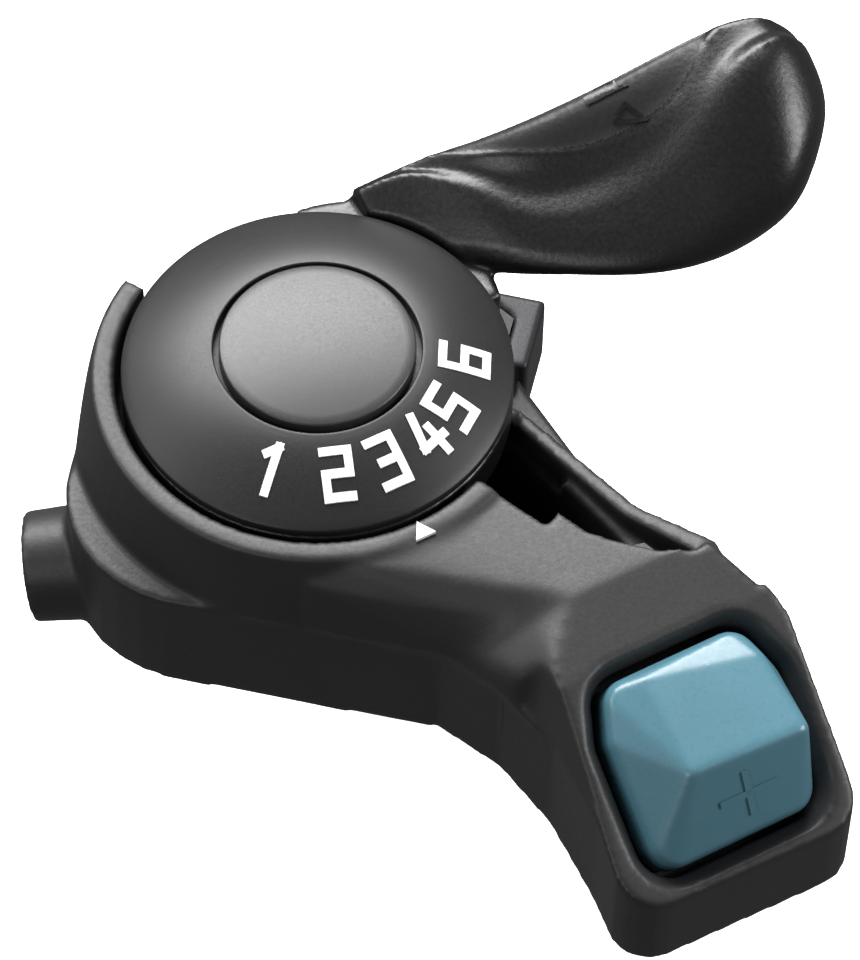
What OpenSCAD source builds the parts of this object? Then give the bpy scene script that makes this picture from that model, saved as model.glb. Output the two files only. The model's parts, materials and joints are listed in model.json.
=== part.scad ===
// Handlebar thumb shifter with an indexed lever, a numbered dial and a thumb pad on a wing.
// Millimetres, +Z up. Origin: centre of the handlebar clamp bore. +X along the handlebar,
// +Z out through the face of the dial, +Y away from the rider's thumb.

/* [Handlebar clamp] */
// Diameter of the handlebar the clamp is bored for
bar_d = 22.2; // [19:0.1:25.4]
// Wall of the clamp band
band_t = 2.0; // [1.5:0.1:2.3]
// Width of the clamp band along the bar
band_w = 13; // [11:0.5:15]
// Thickness of the clamp's flat seat over the bar
seat_t = 2.9; // [2.9:0.1:4]
// Diameter of the clamp bolt
clamp_bolt_d = 5; // [4:0.5:6]
// Distance from the bar centre to the clamp bolt
lug_y = 18.6; // [18.1:0.5:22]
// Gap between the two clamp lugs
lug_gap = 1.6; // [1:0.1:2.4]

/* [Dial and lever] */
// Distance of the dial axis from the clamp centre along the bar
dial_dx = 8; // [7:0.5:9]
// Distance of the dial axis from the bar centre across the bar
dial_dy = 6; // [5.5:0.25:6.5]
// Diameter of the numbered dial
dial_d = 34; // [30:0.5:38]
// Height of the dial cone from its rim to the cap
dial_h = 3.6; // [2.5:0.1:5]
// Diameter of the round cap in the middle of the dial
cap_d = 17; // [16.5:0.5:19]
// Height of the cap's dome
cap_h = 1; // [0.4:0.1:2]
// Reach of the lever from the dial axis to its tip
lever_reach = 51; // [44:1:60]
// Thickness of the lever blade from back to front
lever_w = 15.4; // [12:0.2:18]
// Height of the lever blade above its underside
lever_h = 13.4; // [10:0.2:15]
// Number of gear positions on the dial
gears = 6; // [4:1:6]
// Angle of one gear step
step_a = 21.2; // [18:0.2:22]
// Diameter of the pivot stud
stud_d = 6; // [5:0.5:7]
// Radius at which the inner cable lies on the drum
drum_r = 7.9; // [7.4:0.1:8.6]
// Running clearance of the lever bush on the stud, on the radius
run_c = 0.05; // [0.02:0.01:0.1]

/* [Housing] */
// Height of the lip round the dial above the clamp's seat
stack_h = 18.9; // [18.6:0.1:21]
// Height of the housing from its skirt to the lip round the dial
house_h = 20; // [17:0.5:20]
// Depth of the housing in front of the dial axis
front_y = 21.4; // [20.4:0.2:24]
// Length of the wing from the dial axis to its end
wing_l = 55; // [50:1:62]
// Width of the wing
wing_w = 21; // [19:0.5:25]
// Downward slope of the wing under the thumb pad
wing_tilt = 27.5; // [20:0.5:32]
// Outer diameter of the cable outlet
boss_d = 9.8; // [8.5:0.1:11]
// Length of the cable outlet outside the housing
boss_l = 5.2; // [3:0.2:8]
// Diameter of the socket for the cable casing
casing_d = 5.2; // [4.5:0.1:5.6]

/* [Thumb pad] */
// Length of the thumb pad along the wing
pad_l = 16.4; // [13:0.2:17.5]
// Width of the thumb pad across the wing
pad_w = 17.2; // [13:0.2:18]
// Height of the thumb pad above the wing
pad_h = 4.6; // [3:0.1:5.5]
// Travel of the thumb pad when it is pressed
pad_travel = 1; // [0.4:0.1:1.5]
// Gap all round the thumb pad
pad_gap = 0.7; // [0.4:0.1:1.2]

/* [Hidden] */
eps = 0.02;
bar_r = bar_d / 2;
seat_z = bar_r + seat_t;          // flat seat of the clamp
lip_z = seat_z + stack_h;         // top of the lip round the dial
skirt_z = lip_z - house_h;        // underside of the skirt
deck_z = lip_z - 0.45;            // top of the deck beside the dial
mid_z = lip_z - 7.5;              // top of the upright lower wall
open_z = lip_z - 5;               // top of the bowl wall behind the dial
floor_z = seat_z + 1.5;           // top of the bowl floor
plate_z = floor_z + 1.2;          // top of the base plate
drum_z = plate_z + 0.3;           // underside of the cable drum
cable_z = drum_z + 1.7;           // height of the inner cable
drum_top = drum_z + 3.6;          // top of the cable drum
index_z = drum_top + 0.3;         // underside of the index plate
index_t = 0.9;
collar_z = index_z + index_t + 0.3; // underside of the lever collar
collar_top = lip_z - 0.6;         // top of the lever collar
wedge_z = open_z + 1.1;           // underside of the collar where it shows beyond the dial
rim_z = collar_top + 0.2;         // underside of the dial rim
dial_r = dial_d / 2;
cap_r = cap_d / 2;
rim_t = 0.9;
cone_z = rim_z + rim_t;           // where the dial cone starts
cap_z = cone_z + dial_h - 0.5;    // height of the dial cone at the cap
bowl_r = dial_r + 0.6;            // inside of the lip
lip_r = dial_r + 2.6;             // outside of the lip at the top
wall_r = dial_r + 2.9;            // outside of the bowl in front and on the left
bowl_in = dial_r - 2;             // inside of the bowl under the lever
back_r = dial_r - 0.3;            // outside of the bowl behind the dial
collar_r = dial_r + 0.3;
stud_r = stud_d / 2;
stud_top = cap_z - 0.9;
lever_a = 43;                     // direction of the lever at rest
lever_z = lip_z + 0.3;            // underside of the lever blade
point_a = -48;                    // direction of the pointer
digit_r = dial_r * 0.745;
digit_h = 3.8;
digit_w = 2.6;
stroke = 0.74;
print_t = 0.12;
boss_a = 15;                      // direction of the cable outlet
boss_tilt = 8.2;                  // and how far it points down
wing_a = -48;                     // direction of the wing
wing_c = 12;                      // sideways offset of the wing from the dial axis
pad_at = wing_l - 9.4;            // place of the pad centre along the wing
pad_c = 0.8;                      // and across it
slope_at = wing_l - 20.7;           // where the wing starts to slope
side_lean = 17;                   // lean of the wing's near side
pad_z = deck_z - (pad_at - slope_at) * tan(wing_tilt);
pocket_d = 6.4;
cushion_t = 2.2;
pad_skirt = pocket_d - cushion_t; // pad depth below the wing surface
screw_d = 3;
ball_r = 1.5;
bush_r = stud_r + 1.3;
ball_at = bush_r + ball_r + 0.6;
pin_at = 9.4;
lug_t = 8.2;
lug_r = 5;
nut_af = clamp_bolt_d * 1.6;

// ---------- frames ----------
module at_dial() { translate([-dial_dx, -dial_dy, 0]) children(); }
module at_wing() {            // x along the wing, y across it, z up, at the slope start
  at_dial() rotate([0, 0, wing_a]) translate([0, wing_c, 0]) children(); }
module at_pad() {             // x down the slope, z out of the wing surface
  at_wing() translate([pad_at, pad_c, pad_z]) rotate([0, wing_tilt, 0]) children(); }
module at_cable() {           // z points out of the cable outlet, y is up
  at_dial() rotate([0, 0, boss_a]) translate([0, -drum_r, cable_z])
    rotate([0, -90 - boss_tilt, 0]) children(); }
module ring(r2, r1, h, n = 64) {
  difference() { cylinder(r = r2, h = h, $fn = n);
    translate([0, 0, -1]) cylinder(r = r1, h = h + 2, $fn = n); } }
function arc(r, a0, a1, n, c = [0, 0]) =
  [for (i = [0:n]) let (a = a0 + (a1 - a0) * i / n) c + r * [cos(a), sin(a)]];
module sector(r, a0, a1, z, h) {
  translate([0, 0, z]) linear_extrude(h)
    polygon(concat([[0, 0]], arc(r, a0, a1, ceil((a1 - a0) / 8)))); }

// ---------- housing ----------
k_w = wing_l / 55;            // wing length against its usual size
half_w = wing_w / 2;
function wing_pt(w, a) = [w * cos(wing_a) - (a + wing_c) * sin(wing_a),
  w * sin(wing_a) + (a + wing_c) * cos(wing_a)];
// near edge of the channel beside the dial
channel_near = [[dial_r - 1.8, -5.2], wing_pt(25.4 * k_w, half_w * 0.06),
  wing_pt(29.5 * k_w, half_w * 0.44)];
// outline of the wing, in the plane of the bar
function wing_outline(d) = concat(
  [wing_pt(4, half_w * 0.55 - d), wing_pt(22 * k_w, half_w * 0.62 - d),
   wing_pt(30 * k_w, half_w * 0.98 - d), wing_pt(39 * k_w, half_w * 1.18 - d)],
  [for (i = [0:4]) wing_pt(wing_l - 3.1 + (3.5 - d) * sin(22.5 * i),
     half_w * 1.06 - 3.5 + (3.5 - d) * cos(22.5 * i))],
  [for (i = [0:4]) wing_pt(wing_l - 3.5 + (3.5 - d) * cos(22.5 * i),
     3.5 - half_w * 1.08 - (3.5 - d) * sin(22.5 * i))],
  [wing_pt(47 * k_w, d - half_w * 1.02), wing_pt(39 * k_w, d - half_w * 0.98),
   wing_pt(32 * k_w, d - half_w * 1.08), wing_pt(25 * k_w, d - half_w * 1.38)]);
function body_outline(d) = concat(
  arc(12 - d, 180, 268, 8, [12 - wall_r, 12 - front_y]),
  [[12, d - front_y + 0.5], [18.5, d - front_y + 0.9]],
  [[20, -2], [back_r - 0.6, 4.5]], arc(back_r - d, 20, 150, 16),
  [for (a = [163, 170]) (wall_r - d) * [cos(a), sin(a)]]);
module skirt_shape(z0, z1, d) {
  translate([0, 0, z0]) linear_extrude(z1 - z0) union() {
    polygon(body_outline(d)); polygon(wing_outline(d)); } }
// a body drawn over flat outlines that lie at rising heights
module slabs(rows) { hull() for (r = rows) translate([0, 0, r[0]]) linear_extrude(0.1) polygon(r[1]); }
module housing_outer() {
  difference() {
    union() {
      skirt_shape(skirt_z, mid_z, 0);
      // lip round the front and the left of the dial
      translate([0, 0, mid_z - eps]) intersection() {
        cylinder(r1 = dial_r + 4.4, r2 = lip_r, h = lip_z - mid_z, $fn = 96);
        translate([-wall_r, -front_y, -1])
          cube([wall_r + 30, front_y + wall_r, 20]);
        translate([0, 0, -1]) linear_extrude(20)
          polygon(concat([[0, 0]], arc(60, 161, 337, 12))); }
      // deck between the dial and the wing, rolling down to the front
      slabs([[mid_z - eps, [[4, 0.2 - front_y], [18, 0.6 - front_y], wing_pt(25 * k_w, -half_w * 1.38),
          wing_pt(31 * k_w, -half_w), wing_pt(33 * k_w, half_w * 0.8),
          wing_pt(22 * k_w, half_w * 0.62), [12, 0]]],
        [deck_z - 2.2, [[4, 1.2 - front_y], [21, 1.8 - front_y], wing_pt(31 * k_w, -half_w * 0.7),
          wing_pt(33 * k_w, half_w * 0.8), wing_pt(22 * k_w, half_w * 0.56), [12, -1]]],
        [deck_z - 0.1, [[4, 2.9 - front_y], [24, 4 - front_y], wing_pt(31 * k_w, -half_w * 0.3),
          wing_pt(32 * k_w, half_w * 0.8), wing_pt(22 * k_w, half_w * 0.5), [12, -2]]]]);
      slabs([[mid_z - eps, [wing_pt(25 * k_w, -half_w * 1.38), wing_pt(31 * k_w, -half_w * 1.1),
          wing_pt(38 * k_w, -half_w * 0.98), wing_pt(38 * k_w, half_w * 1.17),
          wing_pt(29 * k_w, half_w * 0.95), wing_pt(25 * k_w, half_w * 0.2)]],
        [deck_z - 2.2, [wing_pt(28 * k_w, -half_w * 0.8), wing_pt(38 * k_w, -half_w * 0.9),
          wing_pt(38 * k_w, half_w * 1.13), wing_pt(30 * k_w, half_w * 0.92),
          wing_pt(27 * k_w, half_w * 0.3)]],
        [deck_z - 0.1, [wing_pt(30 * k_w, -half_w * 0.4), wing_pt(38 * k_w, -half_w * 0.72),
          wing_pt(38 * k_w, half_w * 1.05), wing_pt(31 * k_w, half_w * 0.86),
          wing_pt(27 * k_w, half_w * 0.4)]]]);
      translate([0, 0, mid_z - eps]) linear_extrude(deck_z - mid_z)
        intersection() { polygon(wing_outline(0.01));
          polygon([for (p = [[36, -30], [36, 30], [90, 30], [90, -30]])
            wing_pt(p[0] * k_w, p[1])]); } }
    // the near side of the wing leans in towards its top
    rotate([0, 0, wing_a]) translate([34 * k_w, wing_c - half_w * 0.8, deck_z])
      rotate([-side_lean, 0, 0]) translate([0, -20, mid_z - deck_z]) cube([60, 20, 30]);
    // the deck bends over in two steps
    rotate([0, 0, wing_a]) translate([slope_at - 4, wing_c - 30, deck_z])
      rotate([0, wing_tilt * 0.45, 0]) cube([60, 60, 30]);
    // slope of the wing under the thumb pad
    translate([0, 0, 0]) rotate([0, 0, wing_a]) translate([slope_at, wing_c - 30, deck_z])
      rotate([0, wing_tilt, 0]) cube([60, 60, 30]);
    // open side of the bowl, where the lever swings
    translate([0, 0, open_z]) linear_extrude(20)
      polygon(concat([[0, 0]], arc(dial_r + 8, -25, 163, 24)));
    translate([0, 0, open_z]) linear_extrude(20) polygon(concat([[2, 4]], channel_near,
      [wing_pt(31 * k_w, half_w * 0.75), wing_pt(25 * k_w, half_w * 2.5), [10, 40]]));
  }
  // far wall of the channel, rising towards the wing
  hull() {
    translate([dial_r - 0.6, 3.4, skirt_z + 6]) cylinder(r = 0.8, h = open_z - skirt_z - 6);
    translate(concat(wing_pt(24 * k_w, half_w * 0.55), [skirt_z + 6]))
      cylinder(r = 0.8, h = deck_z - 2.4 - skirt_z - 6); }
  hull() {
    translate(concat(wing_pt(24 * k_w, half_w * 0.55), [skirt_z + 6]))
      cylinder(r = 0.8, h = deck_z - 2.4 - skirt_z - 6);
    translate(concat(wing_pt(31 * k_w, half_w * 0.88), [skirt_z + 6]))
      cylinder(r = 1.1, h = deck_z - 1.3 - skirt_z - 6); }
}
module housing() color("#3a3b3d") difference() {
  union() {
    difference() {
      at_dial() housing_outer();
      // hollow under the skirt, round the bowl
      at_dial() translate([0, 0, skirt_z - 1]) linear_extrude(mid_z - 2.5 - skirt_z + 1)
        difference() {
          intersection() { union() { polygon(body_outline(2)); polygon(wing_outline(2.2)); }
            polygon([for (p = [[-60, -60], [-60, 60], [31 * k_w, 60], [31 * k_w, -60]])
              wing_pt(p[0], p[1])]); }
          circle(r = bowl_in + 2, $fn = 96);
          polygon([[10, 3], [13, -9], wing_pt(22.5 * k_w, -half_w * 0.16),
            wing_pt(31 * k_w, half_w * 0.3), wing_pt(31 * k_w, half_w * 2),
            wing_pt(20 * k_w, half_w * 2)]);
        }
    }
    at_cable() translate([0, 0, 8])
      cylinder(r1 = boss_d / 2 + 1, r2 = boss_d / 2, h = boss_out - 8, $fn = 48);
  }
  at_dial() {
    translate([0, 0, floor_z]) cylinder(r = bowl_in, h = 30, $fn = 96);
    translate([0, 0, open_z - 0.2]) cylinder(r = bowl_r, h = 30, $fn = 96);
    // channel beside the dial
    translate([0, 0, floor_z]) linear_extrude(20) polygon(concat([[10, 0]], channel_near,
      [wing_pt(24.5 * k_w, half_w * 0.4), [dial_r - 1.2, 2.2]]));
    translate([0, 0, seat_z - 2]) cylinder(r = stud_r + 2.4, h = 10, $fn = 48);
  }
  // relief over the bar and seat for the clamp
  translate([-60, 0, 0]) rotate([0, 90, 0]) cylinder(r = bar_r + 0.8, h = 120, $fn = 64);
  translate([-band_w / 2 - 0.3, -9.8, -10]) cube([band_w + 0.6, 19.6, seat_z + 10]);
  base_screw_at() translate([0, 0, seat_z - 1]) cylinder(r = screw_d / 2 + 0.25, h = 9, $fn = 32);
  // pocket of the thumb pad, bevelled round its mouth
  at_pad() translate([0, 0, -pocket_d]) linear_extrude(30) pad_shape(pad_gap);
  at_pad() hull() {
    translate([0, 0, -1.6]) linear_extrude(0.1) pad_shape(pad_gap + 0.01);
    translate([0, 0, 0.6]) linear_extrude(0.1) pad_shape(pad_gap + 1.5); }
  at_pad() translate([0, 0, -20]) cylinder(r = 2.3, h = 20, $fn = 32);
  at_pad() translate([0, 0, -24 - pocket_d - 1.8]) cylinder(r = 4, h = 24, $fn = 32);
  // cable outlet
  at_cable() cylinder(r = 1.5, h = 40, $fn = 32);
  at_cable() translate([0, 0, boss_out - 7]) cylinder(r = casing_d / 2 + 0.45, h = 9, $fn = 48);
  // seat of the port plug
  at_dial() plug_shape(0.05);
  // recess of the printed pointer
  at_dial() pointer_shape(0);
}
boss_out = wall_r + 5.9 + boss_l - 5.2; // outer face of the cable outlet, from the drum
// two screws hold the base to the clamp: one near the stud, one by the bowl's wall
module base_screw_at() { for (p = [[9.2, -12.5], [bowl_in - 3.4, 64.5]])
  translate([p[0] * cos(p[1]) - dial_dx, p[0] * sin(p[1]) - dial_dy]) children(); }
module pad_shape(g) {
  l = pad_l; w = pad_w;
  offset(r = g, $fn = 48) offset(r = 2.4, $fn = 48) offset(r = -2.4)
    polygon([[-l / 2, -w * 0.36], [-l / 2, w * 0.40], [-l * 0.2, w / 2],
      [l / 2, w * 0.40], [l / 2, -w / 2], [-l * 0.22, -w * 0.46]]); }
module plug_shape(g) {
  translate([0, 0, deck_z - 5]) linear_extrude(2.6) offset(delta = g)
    polygon([for (p = [[26.6, 0.21], [30.2, 0.4], [31.2, 0.61], [27.2, 0.48]])
      wing_pt(p[0] * k_w, p[1] * half_w)]); }
module pointer_shape(h) {
  translate([0, 0, lip_z - 0.3]) linear_extrude(0.3 + h) rotate(point_a)
    polygon([[bowl_r + 0.25, 0], [lip_r - 0.12, 0.95], [lip_r - 0.12, -0.95]]); }
module pointer_mark() color("#f2f2ee") at_dial() pointer_shape(print_t);
module port_plug() color("#6e7073") at_dial() plug_shape(0);

// ---------- clamp ----------
module clamp_band() color("#4b4c4f") difference() {
  union() {
    translate([-band_w / 2, 0, 0]) rotate([0, 90, 0])
      cylinder(r = bar_r + band_t, h = band_w, $fn = 96);
    translate([-band_w / 2, -9.5, 4]) cube([band_w, 19, seat_z - 4]);
    translate([0, lug_y, -lug_t - lug_gap / 2]) cylinder(r = lug_r, h = 2 * lug_t + lug_gap,
      $fn = 48);
    translate([-lug_r, bar_r, -lug_t - lug_gap / 2])
      cube([2 * lug_r, lug_y - bar_r, 2 * lug_t + lug_gap]);
    translate([0, lug_y - 3, lug_gap / 2]) cube([band_w / 2, 3 + lug_r, lug_t]);
  }
  translate([-30, 0, 0]) rotate([0, 90, 0]) cylinder(r = bar_r, h = 60, $fn = 96);
  translate([-30, 0, -lug_gap / 2]) cube([60, 40, lug_gap]);
  translate([0, lug_y, -20]) cylinder(r = clamp_bolt_d / 2 + 0.2, h = 40, $fn = 48);
  translate([0, lug_y, lug_gap / 2 + lug_t - 4.2]) rotate([0, 0, 30])
    cylinder(r = (nut_af + 0.16) / sqrt(3), h = 10, $fn = 6);
  translate([0, lug_y, -30 - lug_gap / 2 - lug_t + 1.6]) cylinder(r = clamp_bolt_d * 0.85 + 0.3,
    h = 30, $fn = 48);
  base_screw_at() translate([0, 0, seat_z - 2.6]) cylinder(r = screw_d / 2 + 0.02, h = 6, $fn = 32);
}
module clamp_nut() color("#b9bcc0") translate([0, lug_y, lug_gap / 2 + lug_t - 4.2]) difference() {
  rotate([0, 0, 30]) cylinder(r = nut_af / sqrt(3), h = clamp_bolt_d * 0.8, $fn = 6);
  translate([0, 0, -1]) cylinder(r = clamp_bolt_d / 2, h = 9, $fn = 48); }
module clamp_bolt() color("#8d9094") translate([0, lug_y, -lug_gap / 2 - lug_t + 1.6]) difference() {
  union() { cylinder(r = clamp_bolt_d / 2, h = 2 * lug_t + lug_gap - 1.6, $fn = 48);
    translate([0, 0, -clamp_bolt_d]) cylinder(r = clamp_bolt_d * 0.85, h = clamp_bolt_d, $fn = 48); }
  translate([0, 0, -clamp_bolt_d - 1]) cylinder(r = clamp_bolt_d * 0.46, h = clamp_bolt_d * 0.5 + 1,
    $fn = 6); }

// ---------- base ----------
module base_plate() color("#a9adb1") at_dial() difference() {
  translate([0, 0, floor_z]) intersection() {
    cylinder(r = bowl_in - 0.3, h = 1.2, $fn = 72);
    translate([-11, -15, -1]) cube([40, 30, 9]); }
  translate([0, 0, floor_z - 1]) cylinder(r = stud_r + 1, h = 9, $fn = 48);
  translate([0, 0, floor_z - 1]) rotate(point_a + 180) translate([pin_at, 0, 0])
    cylinder(r = 1, h = 9, $fn = 32);
  translate([dial_dx, dial_dy, floor_z - 1]) base_screw_at()
    cylinder(r = screw_d / 2 + 0.1, h = 9, $fn = 32);
  translate([dial_dx, dial_dy, floor_z + 0.2]) base_screw_at()
    cylinder(r = screw_d - 0.15, h = 9, $fn = 32); }
module base_screws() color("#c4c7ca") base_screw_at() difference() {
  union() { translate([0, 0, seat_z - 2.4]) cylinder(r = screw_d / 2, h = floor_z - seat_z + 2.7,
      $fn = 32);
    translate([0, 0, floor_z + 0.2]) cylinder(r = screw_d - 0.3, h = 0.95, $fn = 32); }
  translate([0, 0, floor_z + 0.65]) for (a = [0, 90]) rotate(a)
    translate([-1.5, -0.3, 0]) cube([3, 0.6, 1]); }
module pivot_stud() color("#c4c7ca") at_dial() difference() {
  union() {
    translate([0, 0, seat_z + 0.05]) cylinder(r = stud_r + 2.1, h = floor_z - seat_z - 0.05,
      $fn = 48);
    translate([0, 0, floor_z - 1]) cylinder(r = stud_r + 1, h = plate_z - floor_z + 1, $fn = 48);
    translate([0, 0, floor_z - 1]) cylinder(r = stud_r, h = stud_top - floor_z + 1, $fn = 48); }
  // flats that hold the index plate, washer and nut side
  for (s = [-1, 1]) translate([-9, s > 0 ? stud_r - 0.6 : -9 - stud_r + 0.6,
    index_z - 0.1]) cube([18, 9, index_t + 0.2]); }
module limit_pin() color("#d0d2d4") at_dial() rotate(point_a + 180)
  translate([pin_at, 0, floor_z]) cylinder(r = 1, h = plate_z - floor_z + 1.1, $fn = 32);
module index_plate() color("#b3b6ba") at_dial() translate([0, 0, index_z]) difference() {
  cylinder(r = ball_at + 2.8, h = index_t, $fn = 72);
  intersection() { translate([0, 0, -1]) cylinder(r = stud_r + 0.04, h = 4, $fn = 48);
    translate([-9, -stud_r + 0.56, -1]) cube([18, 2 * stud_r - 1.12, 4]); }
  for (i = [0:gears - 1], s = [0, 180]) rotate(lever_a + s - gear_at[i])
    translate([ball_at, 0, -1]) cylinder(r = 0.85, h = 4, $fn = 24); }

// ---------- what turns with the lever ----------
module cable_drum() color("#d8d6cf") at_dial() difference() {
  union() {
    translate([0, 0, drum_z]) cylinder(r = drum_r + 3.4, h = 0.9, $fn = 72);
    translate([0, 0, drum_z]) cylinder(r = drum_r - 0.6, h = 3.6, $fn = 72);
    translate([0, 0, drum_z + 2.5]) cylinder(r = drum_r + 4.2, h = 1.1, $fn = 72);
    for (i = [0:2]) rotate(lever_a + 60 + 120 * i) translate([drum_r + 3, 0, drum_z + 3])
      cylinder(r = 0.9, h = collar_z - drum_z - 3 + 1.4, $fn = 24);
    rotate(lever_a + 35) translate([drum_r - 0.6, 0, drum_z + 0.4]) cylinder(r = 3.3, h = 2.4,
      $fn = 48); }
  translate([0, 0, drum_z - 1]) cylinder(r = bush_r + 0.02, h = 9, $fn = 48);
  // slot of the travel stop
  translate([0, 0, drum_z - 1]) linear_extrude(2.1) polygon(concat(
    arc(pin_at + 1.3, stop_a0 - 8, stop_a1 + 8, 20),
    arc(pin_at - 1.3, stop_a1 + 8, stop_a0 - 8, 20)));
  // seat of the cable nipple
  rotate(lever_a + 35) translate([drum_r - 0.6, 0, drum_z + 0.9]) cylinder(r = 2.3, h = 2.75,
    $fn = 32);
  rotate(lever_a + 35) translate([drum_r - 0.6, 0, cable_z]) rotate([90, 0, 0])
    cylinder(r = 0.7, h = 12, $fn = 24); }
// angles of the gears from the one engaged at rest; the outer steps are longer, as the
// derailleur asks
gear_at = [for (k = [-2.217, -0.958, 0, 0.910, 1.675, 2.788]) k * step_a];
stop_a0 = point_a + 180 + gear_at[0];
stop_a1 = point_a + 180 + gear_at[gears - 1];
module click_balls() color("#e2e4e6") at_dial() for (s = [0, 180]) rotate(lever_a + s)
  translate([ball_at, 0, index_z + index_t + 0.3 + ball_r]) sphere(r = ball_r, $fn = 32);
module click_springs() color("#9aa0a6") at_dial() for (s = [0, 180]) rotate(lever_a + s)
  translate([ball_at, 0, index_z + index_t + 0.35 + 2 * ball_r])
    ring(1.25, 0.8, 0.6, 32);
module lever_bush() color("#c9a24b") at_dial() translate([0, 0, drum_z]) difference() {
  ring(bush_r, stud_r + run_c, collar_top - 0.2 - drum_z, 64);
  translate([-20, -20, index_z - 0.35 - drum_z]) cube([40, 40, index_t + 0.65]); }
// stations along the blade: along, back, front, underside, back top, ridge top, ridge place
function blade_rows() = let (l = lever_reach / 51, w = lever_w / 15.4, h = lever_h / 11.4)
  [for (r = [
    [12, -15.6, -9, -4.0, 0.4, 0.8, 0.12], [16, -14.6, -5.6, -3.6, 1.8, 2.3, 0.14],
    [20, -13.2, -1.2, -2.2, 3.6, 3.2, 0.36], [24, -11.4, 2.3, -0.7, 5.5, 3.2, 0.48],
    [29, -10, 5.8, 0, 7.2, 4.2, 0.45], [34, -9, 7.8, 0, 8.7, 6.0, 0.43],
    [39, -8.4, 8.3, 0.1, 9.9, 8.6, 0.40], [44, -7.8, 7.5, 0.9, 10.8, 11, 0.32],
    [48, -6.8, 4.4, 2.2, 10.8, 11.2, 0.3], [50.4, -5.4, 1.6, 4.0, 9.2, 9.5, 0.3],
    [51.3, -4.0, -0.6, 5.6, 7.8, 8.0, 0.3]])
    [r[0] * l, r[1] * w, r[2] * w, r[3], r[4] * h, r[5] * h, r[6]]];
function blade_section(r) = let (b = r[1], f = r[2], z0 = lever_z + r[3], za = lever_z + r[4],
    zr = lever_z + r[5], m = (b + f) / 2, c = min(2.4, (za - z0) * 0.3), g = (f - b) * r[6]) [
    [r[0], b + c, z0], [r[0], m, z0 - 0.01], [r[0], f - c, z0],
    [r[0], f, z0 + (zr - z0) * 0.28], [r[0], f - (f - b) * 0.1, z0 + (zr - z0) * 0.62],
    [r[0], b + g + (f - b) * 0.16, zr - (zr - z0) * 0.06], [r[0], b + g, zr],
    [r[0], b + g * 0.66, (za + zr) / 2 - 0.5], [r[0], b + g * 0.33, za - 0.2],
    [r[0], b + g * 0.1, za], [r[0], b, za - c * 0.6], [r[0], b, z0 + c]];
// a smooth curve through points b and c, with a and d as their neighbours
function smooth(a, b, c, d, t) = 0.5 * (2 * b + (c - a) * t + (2 * a - 5 * b + 4 * c - d) * t * t
  + (3 * b - a - 3 * c + d) * t * t * t);
function smooth_rows(r, k) = let (n = len(r)) concat([for (i = [0:n - 2], t = [0:k - 1])
  smooth(r[max(i - 1, 0)], r[i], r[i + 1], r[min(i + 2, n - 1)], t / k)], [r[n - 1]]);
function smooth_loop(p, k) = let (n = len(p)) [for (i = [0:n - 1], t = [0:k - 1])
  smooth(p[(i + n - 1) % n], p[i], p[(i + 1) % n], p[(i + 2) % n], t / k)];
module blade() {
  rows = smooth_rows(blade_rows(), 3); n = len(rows); q = 24;
  pts = [for (r = rows) for (p = smooth_loop(blade_section(r), 2)) [p[0], -p[1], p[2]]];
  polyhedron(points = pts, faces = concat(
    [for (i = [0:n - 2], j = [0:q - 1]) [(i + 1) * q + j, i * q + j, (i + 1) * q + (j + 1) % q]],
    [for (i = [0:n - 2], j = [0:q - 1]) [(i + 1) * q + (j + 1) % q, i * q + j,
      i * q + (j + 1) % q]],
    [[for (j = [q - 1:-1:0]) j]], [[for (j = [0:q - 1]) (n - 1) * q + j]]), convexity = 6); }
module lever() color("#26272a") at_dial() difference() {
  union() {
    translate([0, 0, collar_z]) cylinder(r = bowl_in - 0.6, h = collar_top - collar_z, $fn = 96);
    translate([0, 0, open_z + 0.4]) cylinder(r = collar_r - 0.3, h = collar_top - open_z - 0.4,
      $fn = 96);
    // collar that shows beyond the dial
    translate([0, 0, wedge_z]) linear_extrude(collar_top - wedge_z) polygon(concat(
      arc(dial_r - 1, 110, 42, 10), [for (i = [0:10]) let (a = 42 + 6.8 * i)
        (dial_r + 1.3 + 1.9 * sin(18 * i)) * [cos(a), sin(a)]]));
    rotate([0, 0, lever_a]) blade();
  }
  // room for the dial
  translate([0, 0, collar_top]) cylinder(r = dial_r + 0.35, h = 20, $fn = 96);
  translate([0, 0, collar_z - 1]) cylinder(r = bush_r, h = 20, $fn = 48);
  // guides of the click balls and springs
  for (s = [0, 180]) rotate(lever_a + s) translate([ball_at, 0, collar_z - 1])
    cylinder(r = ball_r + 0.05, h = 1 + index_z + index_t + 0.95 + 2 * ball_r - collar_z, $fn = 32);
  for (i = [0:2]) rotate(lever_a + 60 + 120 * i) translate([drum_r + 3, 0, collar_z - 1])
    cylinder(r = 0.92, h = 2.7, $fn = 24);
  dial_screw_at() translate([0, 0, collar_z - 1])
    cylinder(r = 1, h = collar_top - collar_z + 2, $fn = 24);
  dial_screw_at() translate([0, 0, collar_z - 1]) cylinder(r = 1.9, h = 2.2, $fn = 32);
}
module dial_screw_at() { for (i = [0:2]) rotate(lever_a + 30 + 120 * i) translate([bowl_in - 3, 0, 0])
  children(); }
module thrust_washer() color("#c2c5c8") at_dial() translate([0, 0, collar_top])
  ring(7, stud_r + 0.2, 0.6, 48);
module wave_washer() color("#8f949a") at_dial() translate([0, 0, collar_top + 0.6]) difference() {
  union() { ring(6.2, stud_r + 0.3, 0.25, 48);
    for (i = [0:2]) rotate(120 * i) translate([4.8, 0, 0.24]) rotate([0, 0, 0])
      linear_extrude(0.31) polygon([[-1, -1.4], [1.2, -1.4], [1.2, 1.4], [-1, 1.4]]); }
  translate([0, 0, -1]) cylinder(r = stud_r + 0.3, h = 4, $fn = 48); }
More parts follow.
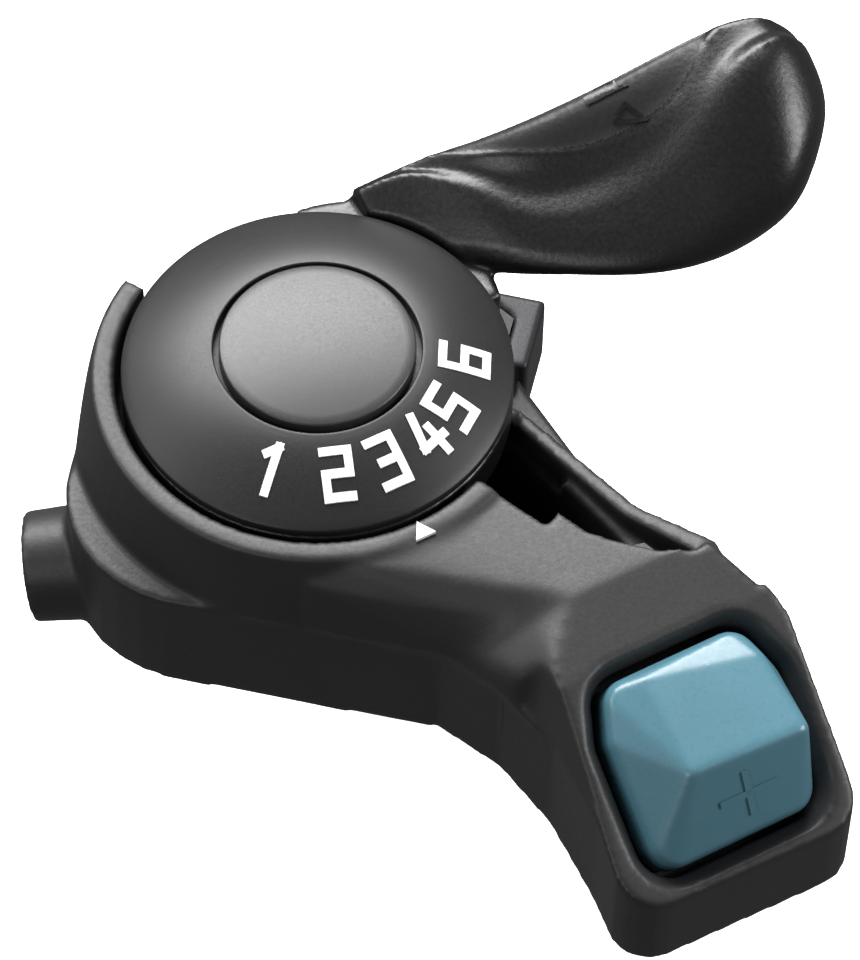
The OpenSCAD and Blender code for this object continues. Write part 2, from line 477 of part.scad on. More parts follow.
module stud_nut() color("#c2c5c8") at_dial() translate([0, 0, collar_top + 1.15]) difference() {
  cylinder(r = 5 * 2 / sqrt(3), h = stud_top - 0.3 - collar_top - 1.15, $fn = 6);
  translate([0, 0, -1]) cylinder(r = stud_r, h = 9, $fn = 48); }
// profile of the dial's top face from its rim to the cap
function dome_line(dz) = [for (i = [0:10]) let (t = i / 10)
  [dial_r - (dial_r - cap_r - 0.5) * t, cone_z + (cap_z - cone_z) * (1 - pow(1 - t, 1.45)) + dz]];
module print_shell() {        // thin layer on the top face of the dial
  p = dome_line(print_t); q = dome_line(0);
  rotate_extrude($fn = 96) polygon(concat(p, [for (i = [len(q) - 1:-1:0]) q[i]])); }
module dial() color("#3f4043") at_dial() difference() {
  rotate_extrude($fn = 96) polygon(concat([[0, rim_z], [dial_r - 0.25, rim_z],
    [dial_r, rim_z + 0.2]], dome_line(0), [[0, cap_z]]));
  translate([0, 0, rim_z - 1]) cylinder(r = cap_r - 1, h = 20, $fn = 64);
  translate([0, 0, cap_z - 1.3]) cylinder(r = cap_r + 0.35, h = 20, $fn = 96);
  dial_screw_at() translate([0, 0, rim_z - 1]) cylinder(r = 0.9, h = 2.4, $fn = 24); }
module dial_screws() color("#c2c5c8") dial_screw_group();
module dial_screw_group() { at_dial() dial_screw_at() union() {
  translate([0, 0, collar_z + 0.2]) cylinder(r = 1.7, h = 1, $fn = 32);
  translate([0, 0, collar_z + 1]) cylinder(r = 0.9, h = rim_z + 1.2 - collar_z - 1, $fn = 24); } }
module cap() color("#4c4d50") at_dial() difference() {
  rotate_extrude($fn = 96) polygon(concat([[0, cap_z - 1.2], [cap_r, cap_z - 1.2], [cap_r, cap_z]],
    [for (i = [0:8]) let (t = 1 - i / 8) [(cap_r - 0.25) * t, cap_z + 0.2 + cap_h * (1 - t * t)]]));
  translate([0, 0, cap_z - 2]) cylinder(r = cap_r - 1.6, h = 2.1, $fn = 64); }
// digits drawn as strokes in a box digit_w wide and digit_h tall
module bar_(x0, y0, x1, y1) {
  p = [x0 * digit_w, y0 * digit_h]; v = [x1 * digit_w, y1 * digit_h] - p;
  translate(p) rotate(atan2(v[1], v[0])) translate([-stroke / 2, -stroke / 2])
    square([norm(v) + stroke, stroke]); }
function segs(n) =
  n == 1 ? [[.1, -.5, .1, .5], [-.22, .3, .1, .48]] :
  n == 2 ? [[-.4, .5, .4, .5], [.4, 0, .4, .5], [-.4, 0, .4, 0], [-.4, -.5, -.4, 0],
            [-.4, -.5, .4, -.5]] :
  n == 3 ? [[-.4, .5, .4, .5], [.4, -.5, .4, .5], [-.2, 0, .4, 0], [-.4, -.5, .4, -.5]] :
  n == 4 ? [[-.4, -.2, .02, .5], [-.4, -.2, .48, -.2], [.22, -.5, .22, .1]] :
  n == 5 ? [[-.4, .5, .4, .5], [-.4, 0, -.4, .5], [-.4, 0, .4, 0], [.4, -.5, .4, 0],
            [-.4, -.5, .4, -.5]] :
           [[-.4, .5, .4, .5], [-.4, -.5, -.4, .5], [-.4, 0, .4, 0], [.4, -.5, .4, 0],
            [-.4, -.5, .4, -.5]];
module dial_numbers() color("#f2f2ee") at_dial() intersection() {
  print_shell();
  for (i = [0:gears - 1]) rotate(point_a + gear_at[i])
    translate([digit_r, 0, rim_z]) rotate(90) linear_extrude(9) for (s = segs(i + 1))
      bar_(s[0], s[1], s[2], s[3]); }

// ---------- thumb pad ----------
module thumb_pad() color("#6f9fb8") at_pad() difference() {
  hull() {
    translate([0, 0, -pad_skirt]) linear_extrude(pad_skirt - 0.4) pad_shape(0);
    translate([0, 0, 0.3]) linear_extrude(0.1) pad_shape(-0.3);
    // corners of the upper facet: along, across and up, as shares of the pad's sizes
    for (p = [[-0.42, -0.17, 0.34], [0.08, -0.20, 1], [0.11, 0.385, 0.95], [-0.30, 0.38, 0.41]])
      translate([p[0] * pad_l, p[1] * pad_w, p[2] * pad_h - 1]) sphere(r = 1, $fn = 20);
  }
  translate([0, 0, -pad_skirt - 1]) cylinder(r = 1.5, h = pad_skirt, $fn = 32); }
module pad_cushion() color("#1d1d1f") at_pad() translate([0, 0, -pocket_d]) linear_extrude(cushion_t)
  difference() { pad_shape(-0.2); circle(r = 2.5, $fn = 32); }
module pad_screw() color("#c2c5c8") at_pad() difference() {
  union() {
    translate([0, 0, -pocket_d - 1.8 - 0.3]) cylinder(r = 1.5, h = pocket_d + 1.8 + 0.3 - 1.2,
      $fn = 32);
    translate([0, 0, -pocket_d - 1.8 - 2]) cylinder(r = 3.4, h = 1.8, $fn = 32); }
  translate([0, 0, -pocket_d - 1.8 - 3]) cylinder(r = 1.3, h = 2, $fn = 6); }

// ---------- cable outlet ----------
module cable_ferrule() color("#9fa3a7") at_cable() translate([0, 0, boss_out - 6.9]) difference() {
  cylinder(r = casing_d / 2 + 0.43, h = 6.4, $fn = 48);
  translate([0, 0, 0.6]) cylinder(r = casing_d / 2, h = 9, $fn = 48);
  translate([0, 0, -1]) cylinder(r = 1.5, h = 9, $fn = 32); }
module cable_liner() color("#e6e3d8") at_cable() translate([0, 0, liner_in])
  ring(1.48, 0.9, boss_out - 6.95 - liner_in, 32);
liner_in = sqrt(bowl_in * bowl_in - drum_r * drum_r) / cos(boss_tilt) + 0.5;

housing();
clamp_band();
clamp_bolt();
clamp_nut();
base_plate();
base_screws();
pivot_stud();
limit_pin();
cable_drum();
index_plate();
click_balls();
click_springs();
lever();
lever_bush();
thrust_washer();
wave_washer();
stud_nut();
dial();
dial_screws();
dial_numbers();
cap();
pointer_mark();
thumb_pad();
pad_cushion();
pad_screw();
cable_ferrule();
cable_liner();
port_plug();
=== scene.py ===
# %% [markdown]
# # A thumb shifter for a bicycle handlebar
# The measured parts come in first, packed as one frame. Every visible skin is then made or
# finished round them, in metres, in the same place. This first cell loads the frame and keeps
# its size, because nothing that follows may grow past it.

# %% Load the measured parts
import json
import math
import bpy
from mathutils import Matrix, Vector


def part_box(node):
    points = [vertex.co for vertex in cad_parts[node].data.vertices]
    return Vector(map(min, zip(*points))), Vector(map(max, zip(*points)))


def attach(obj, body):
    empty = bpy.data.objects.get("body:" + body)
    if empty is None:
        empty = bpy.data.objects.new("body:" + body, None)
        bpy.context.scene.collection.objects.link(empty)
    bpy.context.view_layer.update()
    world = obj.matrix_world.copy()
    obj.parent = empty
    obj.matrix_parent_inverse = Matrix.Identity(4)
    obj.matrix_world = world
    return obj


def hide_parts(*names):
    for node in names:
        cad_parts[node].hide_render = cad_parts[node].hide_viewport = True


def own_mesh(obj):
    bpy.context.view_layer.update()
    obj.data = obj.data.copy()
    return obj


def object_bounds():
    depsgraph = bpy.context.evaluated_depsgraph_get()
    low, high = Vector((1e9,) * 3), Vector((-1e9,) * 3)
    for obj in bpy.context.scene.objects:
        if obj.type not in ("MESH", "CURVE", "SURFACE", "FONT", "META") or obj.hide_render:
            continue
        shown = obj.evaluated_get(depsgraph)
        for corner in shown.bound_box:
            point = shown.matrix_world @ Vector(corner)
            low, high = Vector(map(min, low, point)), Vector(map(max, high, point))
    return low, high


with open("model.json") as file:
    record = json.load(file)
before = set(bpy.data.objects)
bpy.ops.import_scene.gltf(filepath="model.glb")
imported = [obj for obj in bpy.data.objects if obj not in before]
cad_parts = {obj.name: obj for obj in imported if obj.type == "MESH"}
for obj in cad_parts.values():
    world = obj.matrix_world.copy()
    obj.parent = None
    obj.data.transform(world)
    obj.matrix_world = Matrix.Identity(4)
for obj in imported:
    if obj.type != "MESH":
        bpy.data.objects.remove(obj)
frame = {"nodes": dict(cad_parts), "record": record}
cad_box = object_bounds()
nodes = frame["nodes"]
print("size in mm:", [round(1000 * (b - a), 1) for a, b in zip(*cad_box)])

# %% [markdown]
# The dial and the round cap share one upright axis. Its place is read from the dial's own box,
# so a later change of the measured parts moves every new piece with it.

# %% Where things are
mm = 0.001

def middle(node):
    low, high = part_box(node)
    return (Vector(low) + Vector(high)) / 2

dial_axis = middle("dial")
dial_low, dial_high = (Vector(p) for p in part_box("dial"))
dial_r = (dial_high.x - dial_low.x) / 2
cap_low, cap_high = (Vector(p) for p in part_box("cap"))
cap_r = (cap_high.x - cap_low.x) / 2
print("dial radius mm:", round(dial_r / mm, 2), "cap radius mm:", round(cap_r / mm, 2))

# %% [markdown]
# A long lens far away looks down at the dial from the rider's side, a little from the right.
# The three directions of the camera are worked out from two angles and a small roll, so that
# the picture stands as a product picture would.

# %% Camera
azimuth, elevation, roll = math.radians(12), math.radians(55.6), math.radians(1.5)
toward = Vector((math.sin(azimuth) * math.cos(elevation),
                 -math.cos(azimuth) * math.cos(elevation), math.sin(elevation)))
level = Vector((math.cos(azimuth), math.sin(azimuth), 0))
upright = toward.cross(level)
right = math.cos(roll) * level + math.sin(roll) * upright
up = math.cos(roll) * upright - math.sin(roll) * level
aim = dial_axis + Vector((0.0113, -0.0053, -0.0068))
camera_data = bpy.data.cameras.new("camera")
camera_data.lens = 195.2
camera_data.sensor_width = 36
camera_data.clip_start, camera_data.clip_end = 0.01, 20
camera = bpy.data.objects.new("camera", camera_data)
bpy.context.scene.collection.objects.link(camera)
turn = Matrix((right, up, toward)).transposed().to_4x4()
camera.matrix_world = Matrix.Translation(aim + 0.45 * toward) @ turn
bpy.context.scene.camera = camera
print("camera is", round((camera.location - dial_axis).length, 3), "m from the dial")

# %% [markdown]
# The shifter hangs on its clamp above a pale table. The table is one big slab far wider than
# the view. It glows evenly, so that it shows white, and is kept out of the shifter's
# reflections and its light.

# %% Table
def lone():
    if bpy.context.mode != "OBJECT":
        bpy.ops.object.mode_set(mode="OBJECT")
    bpy.ops.object.select_all(action="DESELECT")

lone()
lowest = cad_box[0][2]
bpy.ops.mesh.primitive_cube_add(size=1, location=(0, 0, lowest - 0.004))
table = bpy.context.object
table.name = "table"
table.scale = (3, 3, 0.004)
bpy.ops.object.transform_apply(location=True, rotation=True, scale=True)
table.visible_glossy = table.visible_diffuse = False
print("table top at mm:", round((lowest - 0.002) * 1000, 1))

# %% [markdown]
# Every finish here is a moulded or turned surface with its own fine texture. One helper makes
# the shared chain: two noises, one for slow changes of tone and one for the grain that the
# mould leaves, which feeds the roughness and the bump. The numbers of each finish are given
# where it is made.

# %% A helper for finishes
def finish(name, base, rough, grain_mm, depth, tone=0.12, metal=0.0, coat=0.0, spread=0.10,
           specular=0.5):
    mat = bpy.data.materials.new(name)
    mat.use_nodes = True
    tree = mat.node_tree
    shader = tree.nodes["Principled BSDF"]
    shader.inputs["Metallic"].default_value = metal
    shader.inputs["Specular IOR Level"].default_value = specular
    shader.inputs["Coat Weight"].default_value = coat
    shader.inputs["Coat Roughness"].default_value = 0.25
    place = tree.nodes.new("ShaderNodeTexCoord")
    slow = tree.nodes.new("ShaderNodeTexNoise")
    slow.inputs["Scale"].default_value = 90
    slow.inputs["Detail"].default_value = 3
    grain = tree.nodes.new("ShaderNodeTexNoise")
    grain.inputs["Scale"].default_value = 1000 / grain_mm
    grain.inputs["Detail"].default_value = 2
    tree.links.new(place.outputs["Object"], slow.inputs["Vector"])
    tree.links.new(place.outputs["Object"], grain.inputs["Vector"])
    ramp = tree.nodes.new("ShaderNodeValToRGB")
    ramp.color_ramp.elements[0].position = 0.3
    ramp.color_ramp.elements[1].position = 0.7
    ramp.color_ramp.elements[0].color = [c * (1 - tone) for c in base] + [1]
    ramp.color_ramp.elements[1].color = [min(1, c * (1 + tone)) for c in base] + [1]
    tree.links.new(slow.outputs["Fac"], ramp.inputs["Fac"])
    tree.links.new(ramp.outputs["Color"], shader.inputs["Base Color"])
    sheen = tree.nodes.new("ShaderNodeMapRange")
    sheen.inputs["To Min"].default_value = rough - spread
    sheen.inputs["To Max"].default_value = rough + spread
    tree.links.new(grain.outputs["Fac"], sheen.inputs["Value"])
    tree.links.new(sheen.outputs["Result"], shader.inputs["Roughness"])
    bump = tree.nodes.new("ShaderNodeBump")
    bump.inputs["Strength"].default_value = 1
    bump.inputs["Distance"].default_value = depth / 1000
    tree.links.new(grain.outputs["Fac"], bump.inputs["Height"])
    tree.links.new(bump.outputs["Normal"], shader.inputs["Normal"])
    return mat

# %% [markdown]
# The housing is a fine-grained satin charcoal. The lever is blacker and shinier, with a pebble
# that breaks the highlights, and coarser and duller where the thumb rests. The dial and cap
# are smoother, the cap a little greyer. The pad is a cool blue plastic with a soft gloss.

# %% Finishes of the plastics
charcoal = finish("charcoal_housing", (0.020, 0.0195, 0.020), 0.46, 0.34, 0.010, specular=0.45)
black_pebble = finish("black_pebbled_lever", (0.005, 0.005, 0.0055), 0.34, 0.40, 0.020,
                      specular=0.55)
thumb_pebble = finish("coarse_thumb_grain", (0.013, 0.013, 0.0135), 0.50, 0.50, 0.040,
                      specular=0.5)
dial_satin = finish("satin_dial", (0.014, 0.014, 0.0145), 0.42, 0.22, 0.004, specular=0.42)
cap_satin = finish("satin_cap", (0.030, 0.030, 0.031), 0.38, 0.22, 0.004, specular=0.5)
pad_blue = finish("blue_pad", (0.066, 0.168, 0.215), 0.30, 0.40, 0.003, tone=0.07, coat=0.15)
print_white = finish("white_print", (0.86, 0.86, 0.84), 0.5, 0.2, 0.003, tone=0.03)
plug_grey = finish("grey_plug", (0.016, 0.016, 0.017), 0.5, 0.3, 0.008)
nylon = finish("natural_nylon", (0.62, 0.60, 0.54), 0.45, 0.4, 0.006, tone=0.05)
rubber = finish("black_rubber", (0.012, 0.012, 0.012), 0.75, 0.25, 0.02)
table_top = finish("pale_table", (0.90, 0.90, 0.90), 0.7, 2.0, 0.01, tone=0.01)
table_shader = table_top.node_tree.nodes["Principled BSDF"]
table_shader.inputs["Emission Color"].default_value = (1, 1, 1, 1)
table_shader.inputs["Emission Strength"].default_value = 0.8
print("plastics ready")

# %% Finishes of the metals
zinc = finish("zinc_steel", (0.45, 0.46, 0.48), 0.32, 0.5, 0.004, metal=1.0, tone=0.08)
alloy = finish("dark_coated_alloy", (0.022, 0.022, 0.024), 0.42, 0.25, 0.008, metal=0.2,
               specular=0.25)
blackened = finish("blackened_steel", (0.03, 0.03, 0.032), 0.5, 0.3, 0.006, metal=0.3,
                   specular=0.3)
brass = finish("turned_brass", (0.68, 0.48, 0.20), 0.28, 0.4, 0.004, metal=1.0)
print("metals ready")

# %% [markdown]
# Parts that keep their measured shape only need their finish. Each goes into the object's own
# material slots.

# %% Dress the measured parts
wears = {
    "clamp_band": alloy, "clamp_bolt": blackened, "clamp_nut": blackened, "base_plate": zinc,
    "base_screws": zinc, "pivot_stud": zinc, "limit_pin": zinc, "cable_drum": nylon,
    "index_plate": zinc, "click_balls": zinc, "click_springs": zinc, "lever_bush": brass,
    "thrust_washer": zinc, "wave_washer": zinc,
    "stud_nut": zinc, "dial_screws": zinc, "dial_numbers": print_white,
    "pointer_mark": print_white, "pad_cushion": rubber,
    "pad_screw": zinc, "cable_ferrule": zinc, "cable_liner": nylon, "port_plug": plug_grey,
    "housing": charcoal, "lever": black_pebble, "dial": dial_satin, "cap": cap_satin,
    "thumb_pad": pad_blue}
for name, mat in wears.items():
    piece = nodes[name]
    for place in piece.material_slots:
        place.material = mat
    if not piece.material_slots:
        piece.data.materials.append(mat)
table.data.materials.append(table_top)
print("dressed", len(wears), "parts of", len(nodes))

# %% [markdown]
# A moulded shell has no knife edges. The measured shell does, so a copy of it is worked over:
# its loose triangles are merged, it is cast again as an even net of small faces, and the net
# is relaxed until every edge has the soft radius of the mould. The copy is worked on a
# thousand times larger, so that a size in millimetres can be given to the modifiers as it is.

# %% A helper that softens a copy of a part
def softened(node, name, net_mm, passes, keep=1.0):
    lone()
    piece = nodes[node].copy()
    piece.data = nodes[node].data.copy()
    piece.name = piece.data.name = name
    bpy.context.scene.collection.objects.link(piece)
    piece.parent = None
    piece.matrix_world = Matrix.Identity(4)
    piece.data.transform(Matrix.Scale(1000, 4))
    bpy.context.view_layer.objects.active = piece
    piece.select_set(True)
    bpy.ops.object.mode_set(mode="EDIT")
    bpy.ops.mesh.select_all(action="SELECT")
    bpy.ops.mesh.remove_doubles(threshold=0.002)
    bpy.ops.object.mode_set(mode="OBJECT")
    cast = piece.modifiers.new("cast", "REMESH")
    cast.mode, cast.voxel_size, cast.adaptivity = "VOXEL", net_mm, 0
    bpy.ops.object.modifier_apply(modifier="cast")
    relax = piece.modifiers.new("relax", "SMOOTH")
    relax.factor, relax.iterations = 0.5, passes
    bpy.ops.object.modifier_apply(modifier="relax")
    if keep < 1:
        thin = piece.modifiers.new("thin", "DECIMATE")
        thin.ratio = keep
        bpy.ops.object.modifier_apply(modifier="thin")
    piece.data.transform(Matrix.Scale(0.001, 4))
    bpy.ops.object.shade_smooth()
    piece.data.materials.clear()
    triangles = sum(len(p.vertices) - 2 for p in piece.data.polygons)
    print(name, "has", triangles, "triangles")
    return piece

# %% [markdown]
# The housing carries everything: the bowl under the dial, the lip round it, the wing and the
# cable outlet. It rides on the body of the same name and stands for the measured shell.

# %% Housing
housing = softened("housing", "housing_shell", 0.30, 8, keep=0.55)
housing.data.materials.append(charcoal)
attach(housing, "housing")
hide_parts("housing")

# %% [markdown]
# Between the deck and the wing the mould has one long, slack curve instead of an edge. The net
# is relaxed many more times there, with a vertex group that fades out towards the crisp parts.

# %% Slack curve of the deck
def eased(t):
    t = min(1, max(0, t))
    return t * t * (3 - 2 * t)

def relax_zone(piece, weight_at, passes):
    zone = piece.vertex_groups.new(name="zone")
    count = 0
    for vertex in piece.data.vertices:
        weight = weight_at(vertex)
        if weight > 0:
            zone.add([vertex.index], weight, "REPLACE")
            count += 1
    relax = piece.modifiers.new("zone relax", "SMOOTH")
    relax.factor, relax.iterations, relax.vertex_group = 0.5, passes, "zone"
    lone()
    bpy.context.view_layer.objects.active = piece
    bpy.ops.object.modifier_apply(modifier="zone relax")
    piece.vertex_groups.remove(piece.vertex_groups["zone"])
    print("relaxed", count, "vertices of", piece.name)

wing_turns = math.radians(-48)
wing_along = Vector((math.cos(wing_turns), math.sin(wing_turns), 0))
wing_across = Vector((-math.sin(wing_turns), math.cos(wing_turns), 0))
slack_middle = dial_axis + wing_along * 27.5 * mm + wing_across * 0.5 * mm

def slack(vertex):
    away = vertex.co - slack_middle
    reach = math.hypot(away.dot(wing_along) / (10 * mm), away.dot(wing_across) / (9.5 * mm))
    high = (vertex.co.z - dial_low.z + 9 * mm) / (3 * mm)
    return eased(1.6 * (1 - reach)) * eased(high)

relax_zone(housing, slack, 140)

# %% [markdown]
# The clamp is a small casting, so its edges are soft too. Only the corner of its lug shows from
# above.

# %% Clamp
clamp = softened("clamp_band", "clamp_casting", 0.30, 6, keep=0.6)
clamp.data.materials.append(alloy)
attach(clamp, "housing")
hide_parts("clamp_band")

# %% [markdown]
# The lever is a thick thumb blade that grows out of a collar under the dial. Its radii are
# larger than those of the housing, so its net is relaxed longer. The thumb rests in a shallow
# recess with a coarser grain. Its border sags towards the front, lowest near the middle of the
# blade, rising gently to the root and faster to the tip, so two parabolas give it. Every point
# behind the border that faces up sinks by half a millimetre.

# %% Lever
lever = softened("lever", "lever_blade", 0.30, 10, keep=0.8)
lever.data.materials.append(black_pebble)
lever.data.materials.append(thumb_pebble)
lever_turns = math.radians(43)
lever_along = Vector((math.cos(lever_turns), math.sin(lever_turns), 0))
lever_left = Vector((-math.sin(lever_turns), math.cos(lever_turns), 0))
border_low, border_out = 3.6 * mm, 36.5 * mm
root_rise, tip_rise = 0.03 / mm, 0.07 / mm

def behind_border(spot):
    """How far a spot lies on the thumb's side of the sagging border."""
    past = spot.x - border_out
    rise = tip_rise if past > 0 else root_rise
    return (spot.y - border_low - rise * past * past) / math.hypot(1, 2 * rise * past)

def lever_spot(vertex):
    from_axis = vertex.co - dial_axis
    return Vector((from_axis.dot(lever_along), from_axis.dot(lever_left)))

recess_depth, recess_root, faces_up = 0.5 * mm, 18 * mm, 0.25
sunk = {}
for vertex in lever.data.vertices:
    spot = lever_spot(vertex)
    if spot.x > recess_root and vertex.normal.z > faces_up:
        depth = (eased(behind_border(spot) / (0.9 * mm))
                 * eased((spot.x - recess_root) / (4 * mm))
                 * eased((vertex.normal.z - faces_up) / 0.3))
        if depth > 0:
            sunk[vertex.index] = depth
for index, depth in sunk.items():
    lever.data.vertices[index].co.z -= recess_depth * depth
for face in lever.data.polygons:
    if all(sunk.get(i, 0) > 0.6 for i in face.vertices):
        face.material_index = 1
print("recess of", len(sunk), "vertices")

# %% [markdown]
# The border is eased a little with the whole blade. The front of the blade is one broad bulge
# without folds, so it is relaxed much longer, fading out towards the root and the back.

# %% Smooth folds of the blade
relax_zone(lever, lambda v: eased((lever_spot(v).x - 17 * mm) / (4 * mm)), 4)
relax_zone(lever, lambda v: (eased((lever_spot(v).x - 28 * mm) / (8 * mm))
                             * eased((0.2 - v.normal.dot(lever_left)) / 0.4)), 60)
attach(lever, "lever")
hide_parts("lever")

# %% [markdown]
# The thumb pad is a small hipped block with bright rounded edges. It is finer, so its net is
# finer too.

# %% Thumb pad
pad = softened("thumb_pad", "blue_thumb_pad", 0.16, 24, keep=0.8)
pad.data.materials.append(pad_blue)
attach(pad, "thumb_pad")
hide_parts("thumb_pad")

# %% [markdown]
# The dial and its cap are turned shapes. Each starts as a circle of edges at the lowest, widest
# place; the edge is extruded upwards and drawn in again and again, as clay is drawn up on a
# wheel, and the last ring is closed at the axis. The circle is fine enough that its outline
# reads as round, and the small steps at the edges give them a soft radius.

# %% A helper that turns a profile
def turned(name, profile, centre, around=144):
    lone()
    radius, height = profile[0]
    bpy.ops.mesh.primitive_circle_add(vertices=around, radius=radius, fill_type="NOTHING",
                                      location=(centre.x, centre.y, height))
    piece = bpy.context.object
    piece.name = piece.data.name = name
    bpy.ops.object.transform_apply(location=True, rotation=False, scale=False)
    bpy.ops.object.mode_set(mode="EDIT")
    bpy.ops.mesh.select_all(action="SELECT")
    for next_radius, next_height in profile[1:]:
        rise = (0, 0, next_height - height)
        bpy.ops.mesh.extrude_region_move(TRANSFORM_OT_translate={"value": rise})
        factor = next_radius / radius
        bpy.ops.transform.resize(value=(factor, factor, 1),
                                 center_override=(centre.x, centre.y, next_height))
        radius, height = next_radius, next_height
    bpy.ops.mesh.merge(type="CENTER")
    bpy.ops.mesh.select_all(action="SELECT")
    bpy.ops.mesh.normals_make_consistent(inside=False)
    bpy.ops.object.mode_set(mode="OBJECT")
    bpy.ops.object.shade_smooth_by_angle(angle=math.radians(40))
    print(name, "has", len(piece.data.polygons), "faces")
    return piece

def rounded(corner_r, corner_z, radius, start, stop, steps=5):
    """Points of a small round edge about (corner_r, corner_z), angles in degrees."""
    turn_to = [math.radians(start + (stop - start) * i / steps) for i in range(steps + 1)]
    return [(corner_r + radius * math.cos(a), corner_z + radius * math.sin(a)) for a in turn_to]

# %% [markdown]
# The dial is a shallow dome: steeper at its rim and nearly flat at the cap, so the printed
# numbers lie on its slope. Its underside is hidden, so it is a flat ring that reaches in under
# the cap. A narrow dark groove is left between the dome and the cap.

# %% Dial
rim_thickness, groove_w, groove_depth = 0.9 * mm, 0.5 * mm, 1.25 * mm
dome_base = dial_low.z + rim_thickness
dome_rise = dial_high.z - dome_base
inner = cap_r + groove_w
dome = []
for i in range(1, 25):
    t = i / 25
    dome.append((dial_r - (dial_r - inner) * t, dome_base + dome_rise * (1 - (1 - t) ** 1.45)))
seat_r = cap_r - 1.2 * mm
profile = ([(seat_r, dial_low.z + 0.3 * mm), (seat_r, dial_low.z)]
           + [(dial_r - 0.3 * mm, dial_low.z)]
           + rounded(dial_r - 0.25 * mm, dial_low.z + 0.25 * mm, 0.25 * mm, -80, 0)
           + rounded(dial_r - 0.3 * mm, dome_base - 0.2 * mm, 0.3 * mm, 0, 55)
           + dome[1:]
           + rounded(inner + 0.15 * mm, dial_high.z - 0.15 * mm, 0.15 * mm, 90, 180)
           + [(inner, dial_high.z - groove_depth), (seat_r, dial_high.z - groove_depth),
              (seat_r, dial_low.z + 0.35 * mm), (0.3 * mm, dial_low.z + 0.35 * mm)])
dial = turned("numbered_dial", profile, dial_axis)
dial.data.materials.append(dial_satin)
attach(dial, "lever")
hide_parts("dial")

# %% [markdown]
# The cap is a low round button with a crowned top and a small radius at its edge.

# %% Cap
edge_z = cap_high.z - 0.8 * mm
cap_profile = ([(cap_r - 0.4 * mm, cap_low.z), (cap_r, cap_low.z + 0.1 * mm)]
               + rounded(cap_r - 0.25 * mm, edge_z - 0.25 * mm, 0.25 * mm, 0, 70)
               + [((cap_r - 0.25 * mm) * (1 - k / 12),
                   edge_z + 0.6 * mm * (1 - (1 - k / 12) ** 2)) for k in range(1, 12)])
cap = turned("dial_cap", cap_profile, dial_axis)
cap.data.materials.append(cap_satin)
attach(cap, "lever")
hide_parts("cap")

# %% [markdown]
# The lever and the pad carry marks that the mould leaves proud of the skin: a bar and a small
# triangle on the lever, a cross on the pad. Each mark starts as a flat plate, is cut to many
# small faces, is drawn on to the skin under it by a shrinkwrap, and then gets its thickness.

# %% A helper for raised marks
def raised_mark(name, outline, place, skin, height=0.16 * mm, fine=5):
    """outline is a list of strokes ((x0, y0), (x1, y1), width) in metres; place is a matrix."""
    lone()
    plates = []
    for start, stop, width in outline:
        start, stop = Vector(start), Vector(stop)
        along = stop - start
        bpy.ops.mesh.primitive_grid_add(x_subdivisions=max(6, int(along.length / (0.2 * mm))),
                                        y_subdivisions=fine, size=1)
        plate = bpy.context.object
        shape = (Matrix.Translation(((start + stop) / 2).to_3d())
                 @ Matrix.Rotation(math.atan2(along.y, along.x), 4, "Z")
                 @ Matrix.Diagonal((along.length + width, width, 1, 1)))
        plate.data.transform(place @ shape)
        plates.append(plate)
    for plate in plates:
        plate.select_set(True)
    bpy.context.view_layer.objects.active = plates[0]
    if len(plates) > 1:
        bpy.ops.object.join()
    mark = bpy.context.object
    mark.name = mark.data.name = name
    wrap = mark.modifiers.new("wrap", "SHRINKWRAP")
    wrap.target, wrap.wrap_method = skin, "NEAREST_SURFACEPOINT"
    wrap.wrap_mode, wrap.offset = "ABOVE_SURFACE", height
    bpy.ops.object.modifier_apply(modifier="wrap")
    thick = mark.modifiers.new("thick", "SOLIDIFY")
    thick.thickness, thick.offset = 2 * height, -1
    bpy.ops.object.modifier_apply(modifier="thick")
    bpy.ops.object.shade_smooth_by_angle(angle=math.radians(40))
    print(name, "has", len(mark.data.polygons), "faces")
    return mark

# %% Marks on the lever
lever_place = (Matrix.Translation(Vector((dial_axis.x, dial_axis.y, dial_low.z + 9.5 * mm)))
               @ Matrix.Rotation(lever_turns, 4, "Z"))
bar = [((31.8 * mm, 8.1 * mm), (38.3 * mm, 7.7 * mm), 0.8 * mm)]
tip, left_foot, right_foot = (34.3 * mm, 6.3 * mm), (32.5 * mm, 4.9 * mm), (35.0 * mm, 4.1 * mm)
triangle = [(tip, left_foot, 0.35 * mm), (left_foot, right_foot, 0.35 * mm),
            (right_foot, tip, 0.35 * mm)]
for name, strokes in (("lever_bar_mark", bar), ("lever_triangle_mark", triangle)):
    mark = raised_mark(name, strokes, lever_place, lever)
    mark.data.materials.append(black_pebble)
    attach(mark, "lever")

# %% [markdown]
# The pad's cross sits on the steep facet that faces the end of the wing. The pad slides along
# one straight line, and the record gives its direction, so the facet is found from that.

# %% Mark on the pad
press = next(j for j in frame["record"]["behaviour"]["joints"] if j["name"] == "thumb_pad_press")
out = -Vector(press["axis"]).normalized()
across = Vector((0, 0, 1)).cross(out).normalized()
down = across.cross(out).normalized()

def span(node, axis):
    reach = [axis.dot(v.co) for v in nodes[node].data.vertices]
    return min(reach), max(reach)

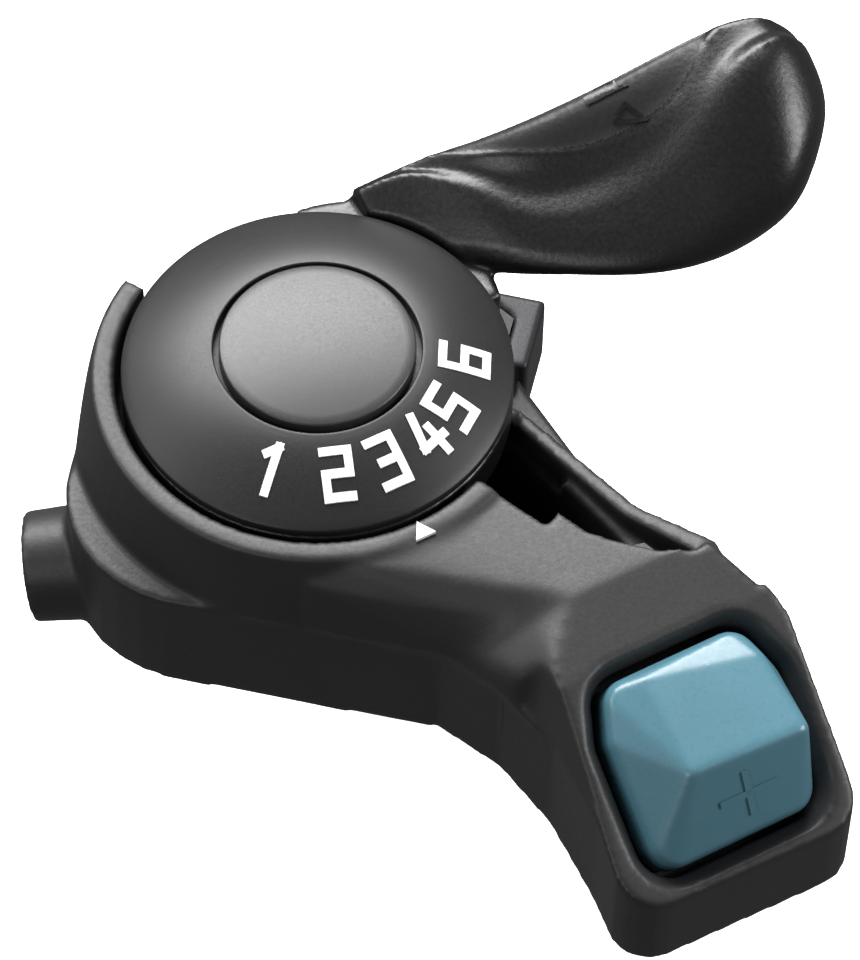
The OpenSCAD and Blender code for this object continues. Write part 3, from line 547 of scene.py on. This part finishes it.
pad_proud = 4.6 * mm
pad_centre = (down * sum(span("thumb_pad", down)) / 2 + across * sum(span("thumb_pad", across)) / 2
              + out * (span("thumb_pad", out)[1] - pad_proud))
facet_lean = math.radians(54)
facet_up = (out * math.cos(facet_lean) - down * math.sin(facet_lean)).normalized()
facet_out = across.cross(facet_up).normalized()
facet_middle = pad_centre + down * 4.6 * mm + across * 0.65 * mm + out * 2.2 * mm
facet = Matrix((across, facet_up, facet_out)).transposed().to_4x4()
cross_place = Matrix.Translation(facet_middle) @ facet
arm = 1.9 * mm
cross = [((-1.3 * arm, 0), (1.3 * arm, 0), 0.6 * mm), ((0, -arm), (0, arm), 0.6 * mm)]
plus = raised_mark("pad_cross_mark", cross, cross_place, pad, height=0.16 * mm)
plus.data.materials.append(pad_blue)
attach(plus, "thumb_pad")
print("pad centre in mm:", [round(c * 1000, 1) for c in pad_centre])

# %% [markdown]
# Under the pad lies a block of soft rubber that pushes it back. It can't travel with the pad,
# because it stands on the floor of the pocket, so it rides on the housing and gets a mesh of
# its own.

# %% Rubber block
block = softened("pad_cushion", "rubber_block", 0.25, 3)
block.data.materials.append(rubber)
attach(block, "housing")
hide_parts("pad_cushion")
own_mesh(block)

# %% [markdown]
# Four lamps light the scene. A very broad one above and behind lies on the flat tops as a soft
# shine and leaves the walls in front dark. Weak ones from the left, from the right and from
# in front shape the dial's slope, the lever's bulge and the ledge. A dim world fills the rest.

# %% Light
def lamp(name, place, size, watts):
    data = bpy.data.lights.new(name, "AREA")
    data.shape, data.size, data.size_y, data.energy = "RECTANGLE", size[0], size[1], watts
    thing = bpy.data.objects.new(name, data)
    bpy.context.scene.collection.objects.link(thing)
    thing.location = place
    aimed = (Vector(place) - dial_axis).to_track_quat("Z", "Y")
    thing.rotation_euler = aimed.to_euler()
    return thing

lamp("back_lamp", dial_axis + Vector((-0.33, 0.60, 0.73)) * 0.65, (0.66, 0.34), 10.5)
lamp("left_lamp", dial_axis + Vector((-0.55, -0.10, 0.35)), (0.3, 0.3), 1.0)
lamp("right_lamp", dial_axis + Vector((0.86, 0.14, 0.48)) * 0.6, (0.30, 0.25), 2.4)
lamp("front_lamp", dial_axis + Vector((-0.31, -0.78, 0.51)) * 0.7, (0.30, 0.20), 0.8)
world = bpy.data.worlds.new("studio")
world.use_nodes = True
world.node_tree.nodes["Background"].inputs["Color"].default_value = (1, 1, 1, 1)
world.node_tree.nodes["Background"].inputs["Strength"].default_value = 0.16
bpy.context.scene.world = world
bpy.context.scene.view_settings.view_transform = "Standard"
print("four lamps and a dim world")
